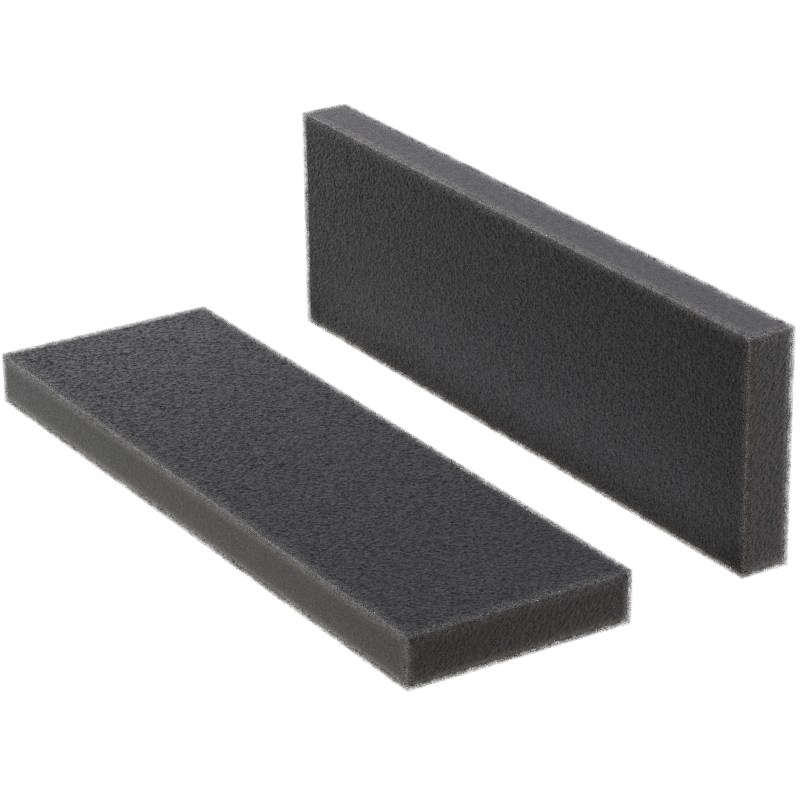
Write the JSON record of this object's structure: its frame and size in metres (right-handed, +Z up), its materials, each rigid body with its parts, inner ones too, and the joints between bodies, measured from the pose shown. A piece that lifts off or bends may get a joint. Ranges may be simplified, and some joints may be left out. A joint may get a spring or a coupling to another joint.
{
  "type": "foam air filter element pair",
  "caption": "Rectangular open-cell foam air filter elements for a small engine's air box: one lying flat, one standing on its long edge.",
  "frame": {"origin": "on the surface both elements rest on, at the middle of the pair's bounding box", "axes": "+X along both elements' length, +Y from the lying element towards the standing one, +Z up"},
  "size_m": [0.2658, 0.1436, 0.08],
  "materials": {
    "open_cell_foam": "dry charcoal-grey reticulated polyurethane foam, about 30 pores to the inch, straight from the knife"
  },
  "bodies": {
    "lying_element": {"lying_foam_element": "open_cell_foam"},
    "standing_element": {"standing_foam_element": "open_cell_foam"}
  },
  "joints": [
    {"name": "standing_element_lift", "type": "slide", "parent": "lying_element", "child": "standing_element", "axis": [0, 0, 1], "range_m": [0, 0.12]}
  ]
}
